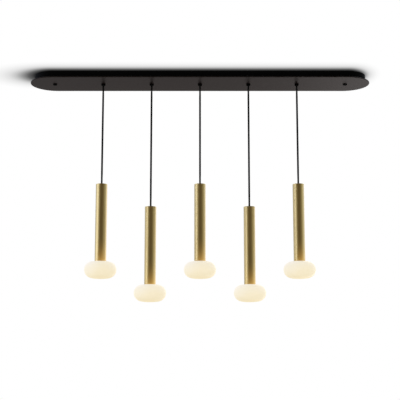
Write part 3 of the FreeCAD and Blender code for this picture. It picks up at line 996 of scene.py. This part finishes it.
@dataclass
class Globe:
    """One opal globe: nearly flat above, round below, with a threaded neck.

    Its girth and its two crowns stand proud of the solid's by up to a millimetre.
    """

    number: int
    dresser: Dresser
    top_height: float = 0.025
    top_radius: float = 0.260
    bottom_height: float = 0.027
    bottom_radius: float = 0.190
    fullness: float = 0.0010
    wall: float = 0.003
    neck_wall: float = 0.0025
    neck_radius: float = 0.0138
    neck_length: float = 0.012
    shoulder: float = 0.0185
    lip: float = 0.0006
    foot: float = 0.0004
    thread_pitch: float = 0.003
    thread_depth: float = 0.0006
    thread_start: float = 0.002
    thread_end: float = 0.0015
    thread_fade: float = 0.0015
    columns: int = 192

    def build(self) -> bpy.types.Object:
        """Make the globe.

        Returns:
            The new piece.
        """
        node = f"globe_{self.number}"
        across, radius, bottom, top = upright(node)
        girth = bottom + self.bottom_height
        name, place = f"opal_globe_{self.number}", (across, 0.0, girth)
        profile = self.profile(radius + self.fullness, top - girth)
        ripple = self.thread(profile, top - girth)
        piece = Surface.turned(name, profile, place, self.columns, ripple)
        self.dresser.dress(piece, OpalGlass())
        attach(piece, f"glass_{self.number}")
        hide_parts(node)
        return piece

    @staticmethod
    def side(radius: float, height: float, crown: float) -> tuple[float, float, float]:
        """The side arc that joins the girth to a crown.

        With g the globe's radius, h the crown's height over the girth and R its radius, the side's
        radius is (2 R h - g^2 - h^2) / (2 (R - g)), so that the crown and the side meet smoothly.

        Args:
            radius: the globe's largest radius.
            height: the crown's height over the girth.
            crown: the crown's radius.

        Returns:
            The side's radius, how far its centre lies from the axis, and the angle where it meets
            the crown.
        """
        side = (2.0 * crown * height - radius**2 - height**2) / (2.0 * (crown - radius))
        reach = radius - side
        return side, reach, math.atan2(crown - height, reach)

    def profile(self, radius: float, top: float) -> np.ndarray:
        """The glass from the bottom of the outside, over the neck's rim, to the bottom of the inside.

        Args:
            radius: the globe's largest radius.
            top: the height of the neck's rim above the girth.

        Returns:
            Radius and height for each step, measured from the middle of the girth.
        """
        upper, lower = self.top_radius, self.bottom_radius
        upper_centre = (0.0, self.top_height - upper)
        lower_centre = (0.0, lower - self.bottom_height)
        upper_side, upper_reach, upper_meet = self.side(radius, self.top_height, upper)
        lower_side, lower_reach, lower_meet = self.side(radius, self.bottom_height, lower)
        bore = self.neck_radius - self.neck_wall
        shoulder_angle = math.acos(self.shoulder / upper)
        bore_angle = math.acos(bore / (upper - self.wall))
        base = top - self.neck_length
        quarter = math.pi / 2.0
        outside = [
            arc(lower_centre, lower, -quarter, -lower_meet, 24),
            arc((lower_reach, 0.0), lower_side, -lower_meet, 0.0, 40)[1:],
            arc((upper_reach, 0.0), upper_side, 0.0, upper_meet, 40)[1:],
            arc(upper_centre, upper, upper_meet, shoulder_angle, 6)[1:],
        ]
        neck_steps = np.linspace(base + self.lip, top - self.lip, 46)
        neck = np.stack([np.full_like(neck_steps, self.neck_radius), neck_steps], axis=-1)
        half_wall = self.neck_wall / 2.0
        rim = arc((self.neck_radius - half_wall, 0.0), half_wall, 0.0, math.pi, 9)
        rim[:, 1] = top - self.lip + rim[:, 1] * self.lip / half_wall
        inside = [
            arc(upper_centre, upper - self.wall, bore_angle, upper_meet, 6),
            arc((upper_reach, 0.0), upper_side - self.wall, upper_meet, 0.0, 26)[1:],
            arc((lower_reach, 0.0), lower_side - self.wall, 0.0, -lower_meet, 26)[1:],
            arc(lower_centre, lower - self.wall, -lower_meet, -quarter, 18)[1:],
        ]
        foot = np.array([[self.neck_radius + self.foot, base]])
        profile = np.concatenate([*outside, foot, neck, rim, *inside])
        profile[0, 0] = 0.0
        profile[-1, 0] = 0.0
        return profile

    def thread(self, profile: np.ndarray, top: float) -> np.ndarray:
        """What the screw thread takes off the neck's radius.

        The groove is half of 1 less the cosine of the full turns of z / pitch - turn, times the
        depth, and it fades out near both ends of the neck.

        Args:
            profile: the globe's profile.
            top: the height of the neck's rim above the girth.

        Returns:
            The change of the radius at each step and angle.
        """
        height = profile[:, 1:]
        turn = height / self.thread_pitch - Surface.turns(self.columns)
        groove = 0.5 - 0.5 * np.cos(2.0 * math.pi * turn)
        base = top - self.neck_length
        above = smooth_step((height - base - self.thread_start) / self.thread_fade)
        below = smooth_step((top - self.thread_end - height) / self.thread_fade)
        on_neck = np.abs(profile[:, :1] - self.neck_radius) < 1e-6
        return np.where(on_neck, -self.thread_depth * groove * above * below, 0.0)


@dataclass
class Pendant:
    """One pendant: its cord, tube and globe."""

    number: int
    dresser: Dresser

    def build(self) -> None:
        """Make the pendant's new pieces and report them."""
        cord = Cord(self.number, self.dresser).build()
        Tube(self.number, self.dresser).build()
        globe = Globe(self.number, self.dresser).build()
        for piece in (cord, globe):
            LOG.info("%s has %d faces", piece.name, len(piece.data.polygons))


@dataclass
class Studio:
    """The white room round the object: ceiling, floor, reflected walls, lamps, world and camera."""

    WALL: ClassVar[Stops] = (
        (0.000, (0.055, 0.046, 0.033)),
        (0.045, (0.060, 0.050, 0.036)),
        (0.100, (0.090, 0.082, 0.060)),
        (0.155, (0.200, 0.200, 0.192)),
        (0.205, (0.731, 0.788, 1.000)),
        (0.245, (0.577, 0.615, 0.750)),
        (0.300, (0.404, 0.431, 0.519)),
        (0.380, (0.231, 0.250, 0.269)),
        (0.460, (0.222, 0.205, 0.201)),
        (0.500, (0.210, 0.192, 0.187)),
        (0.522, (0.222, 0.203, 0.198)),
        (0.545, (0.525, 0.490, 0.480)),
        (0.570, (0.700, 0.682, 0.682)),
        (0.620, (0.404, 0.423, 0.481)),
        (0.715, (0.338, 0.365, 0.415)),
        (0.790, (0.219, 0.223, 0.192)),
        (0.860, (0.092, 0.084, 0.071)),
        (0.920, (0.063, 0.054, 0.039)),
        (1.000, (0.055, 0.046, 0.033)),
    )
    SHADOW: ClassVar[Levels] = (
        (0.00, 0.024),
        (0.10, 0.122),
        (0.20, 0.333),
        (0.30, 0.580),
        (0.40, 0.750),
        (0.50, 0.842),
        (0.60, 0.900),
        (0.70, 0.950),
        (0.90, 1.000),
    )
    focal_pixels: float = 1066.0
    frame_pixels: float = 400.0
    eye: Point = (0.0, -3.191, -0.979)
    tilt: float = 10.45
    tray_run: float = 0.450
    tray_end: float = 0.063
    shadow_reach: float = 0.1
    shadow_lean: float = 0.5
    shadow_lit: float = 0.018
    ceiling_reach: float = 6.0
    ceiling_height: float = 0.0004
    floor_reach: float = 30.0
    floor_height: float = -2.4
    floor_paint: Colour = (0.80, 0.80, 0.80)
    floor_light: float = 0.94
    room_grey: Colour = (0.52, 0.52, 0.52)
    wall_radius: float = 5.0
    wall_height: float = 30.0
    wall_columns: int = 96
    wall_light: float = 2.6

    def build(self) -> None:
        """Make everything that isn't the object."""
        self.ceiling()
        self.floor()
        self.walls()
        self.lamps()
        self.world()
        self.camera()

    @staticmethod
    def prop(
        name: str, points: np.ndarray, faces: np.ndarray, material: bpy.types.Material
    ) -> bpy.types.Object:
        """Something that stands round the object and isn't part of it.

        Args:
            name: its name.
            points: one row of three coordinates for each point.
            faces: one row of four point numbers for each face.
            material: its material.

        Returns:
            The new object.
        """
        data = bpy.data.meshes.new(name)
        data.from_pydata(points.tolist(), [], faces.tolist())
        data.materials.append(material)
        made = placed(name, data)
        return made

    @staticmethod
    def sheet(height: float, reach: float) -> np.ndarray:
        """The corners of a square level sheet, in turn to the left as seen from above."""
        corners = np.array([[-1, -1], [1, -1], [1, 1], [-1, 1]]) * reach
        return np.column_stack([corners, np.full(4, height)])

    @staticmethod
    def hide(thing: bpy.types.Object, *rays: str) -> None:
        """Keep a thing from rays of these kinds, which are Blender's own names for them."""
        for ray in rays:
            setattr(thing, f"visible_{ray}", False)

    def ceiling(self) -> None:
        """A white ceiling that only the camera sees, from below, with the canopy's soft shadow.

        With n the outward direction of the tray's outline at the nearest point, along the row, and
        d the distance from the outline, the shade is that of the distance
        d (1 + lean n |n|) + lit n^2 on the right, and without the last term on the left. So the
        shadow is longer on the left, away from the light.
        """
        shader = Shader("ceiling_white")
        across, beyond, _ = shader.split(shader.object_point())
        past = (across.math("ABSOLUTE") - self.tray_run).math("MAXIMUM", 0.0)
        reach = (past * past + beyond * beyond) ** 0.5
        outward = past / reach * across.math("SIGN")
        lean = self.shadow_lean * outward * outward.math("ABSOLUTE")
        distance = (reach - self.tray_end) * (1.0 + lean)
        right = outward.math("MAXIMUM", 0.0)
        place = (distance + self.shadow_lit * right * right) / self.shadow_reach
        white = shader.emission(shader.ramp(place, self.SHADOW))
        clear = shader.node("ShaderNodeBsdfTransparent")
        behind = Value(shader, shader.node("ShaderNodeNewGeometry").outputs["Backfacing"])
        material = shader.end(shader.blend(behind, white, clear))
        points = self.sheet(self.ceiling_height, self.ceiling_reach)
        sheet = self.prop("ceiling", points, np.array([[3, 2, 1, 0]]), material)
        self.hide(sheet, "diffuse", "glossy", "transmission", "shadow")

    def floor(self) -> None:
        """A pale floor, white to the camera and behind glass. Metal sees the round wall instead."""
        shader = Shader("floor_white")
        pale = shader.node("ShaderNodeBsdfDiffuse", inputs={"Color": self.floor_paint})
        white = shader.emission(WHITE, self.floor_light)
        material = shader.end(shader.blend(shader.seen(), pale, white))
        points = self.sheet(self.floor_height, self.floor_reach)
        self.hide(self.prop("floor", points, np.array([[0, 1, 2, 3]]), material), "glossy")

    def walls(self) -> None:
        """A round wall that only reflections see.

        Its brightness changes with the direction: the turn is 0 and 1 behind the camera, 0.25 on
        the left, 0.5 behind the object and 0.75 on the right. So the room has a soft light on the
        left, a dimmer wall behind with a bright strip right of it, and the dark behind the camera.
        """
        columns = self.wall_columns
        angle = 2.0 * math.pi * Surface.turns(columns)
        ring = np.stack([np.sin(angle), np.cos(angle)], axis=-1) * self.wall_radius
        rows = [
            np.column_stack([ring, np.full(columns, height)])
            for height in (-self.wall_height, self.wall_height)
        ]
        shader = Shader("wall_light")
        across, beyond, _ = shader.split(shader.object_point())
        turn = across.math("ARCTAN2", beyond) / (2.0 * math.pi) + 0.5
        light = shader.emission(shader.gradient(turn, self.WALL), self.wall_light)
        faces = Surface.quads(len(rows), columns)
        wall = self.prop("walls", np.concatenate(rows), faces, shader.end(light))
        self.hide(wall, "camera", "diffuse", "transmission", "shadow")

    def lamps(self) -> None:
        """Three large soft lamps: from the left front, from the right front and low, and from above."""
        centre = np.array([0.0, 0.0, -0.36])
        places = {
            "left_lamp": ((-2.6, -2.4, -0.9), 2.0, 36.0),
            "right_lamp": ((2.8, -1.8, -1.5), 1.8, 34.0),
            "top_lamp": ((0.4, 0.9, 2.6), 2.4, 40.0),
        }
        for name, (place, side, power) in places.items():
            data = bpy.data.lights.new(name, "AREA")
            data.shape = "SQUARE"
            data.size = side
            data.energy = power
            lamp = placed(name, data)
            self.aim(lamp, np.array(place), centre)
            self.hide(lamp, "glossy")

    @staticmethod
    def aim(thing: bpy.types.Object, place: np.ndarray, target: np.ndarray) -> None:
        """Stand a lamp at a place and turn it to a target: it looks along its own -Z.

        Args:
            thing: the lamp.
            place: where it stands.
            target: what it looks at.
        """
        away = target - place
        level = math.hypot(away[0], away[1])
        thing.location = place.tolist()
        thing.rotation_euler = (math.atan2(level, -away[2]), 0.0, math.atan2(-away[0], away[1]))

    def world(self) -> None:
        """A white world for the camera, metal and glass, and a plain grey one that lights the rest."""
        shader = Shader("studio_world", Holder.WORLD)
        colour = shader.mix(shader.seen(), self.room_grey, WHITE)
        light = shader.node("ShaderNodeBackground", inputs={"Color": colour})
        shader.node("ShaderNodeOutputWorld", inputs={"Surface": light.outputs[0]})
        bpy.context.scene.world = shader.owner

    def camera(self) -> None:
        """The camera of the photograph: below the row, looking a little up."""
        data = bpy.data.cameras.new("camera")
        data.sensor_width = 36.0
        data.lens = self.focal_pixels / self.frame_pixels * data.sensor_width
        eye = placed("camera", data)
        eye.location = self.eye
        eye.rotation_euler = (math.radians(90.0 + self.tilt), 0.0, 0.0)
        bpy.context.scene.camera = eye
        bpy.context.scene.view_settings.view_transform = "Standard"


def main() -> None:
    """Build the studio, dress the CAD nodes and make the pendants' new pieces."""
    logging.basicConfig(level=logging.INFO, format="%(name)s: %(message)s")
    Studio().build()
    dresser = Dresser()
    dresser.dress_nodes()
    for number in range(1, PENDANTS + 1):
        Pendant(number, dresser).build()


if __name__ == "__main__":
    main()
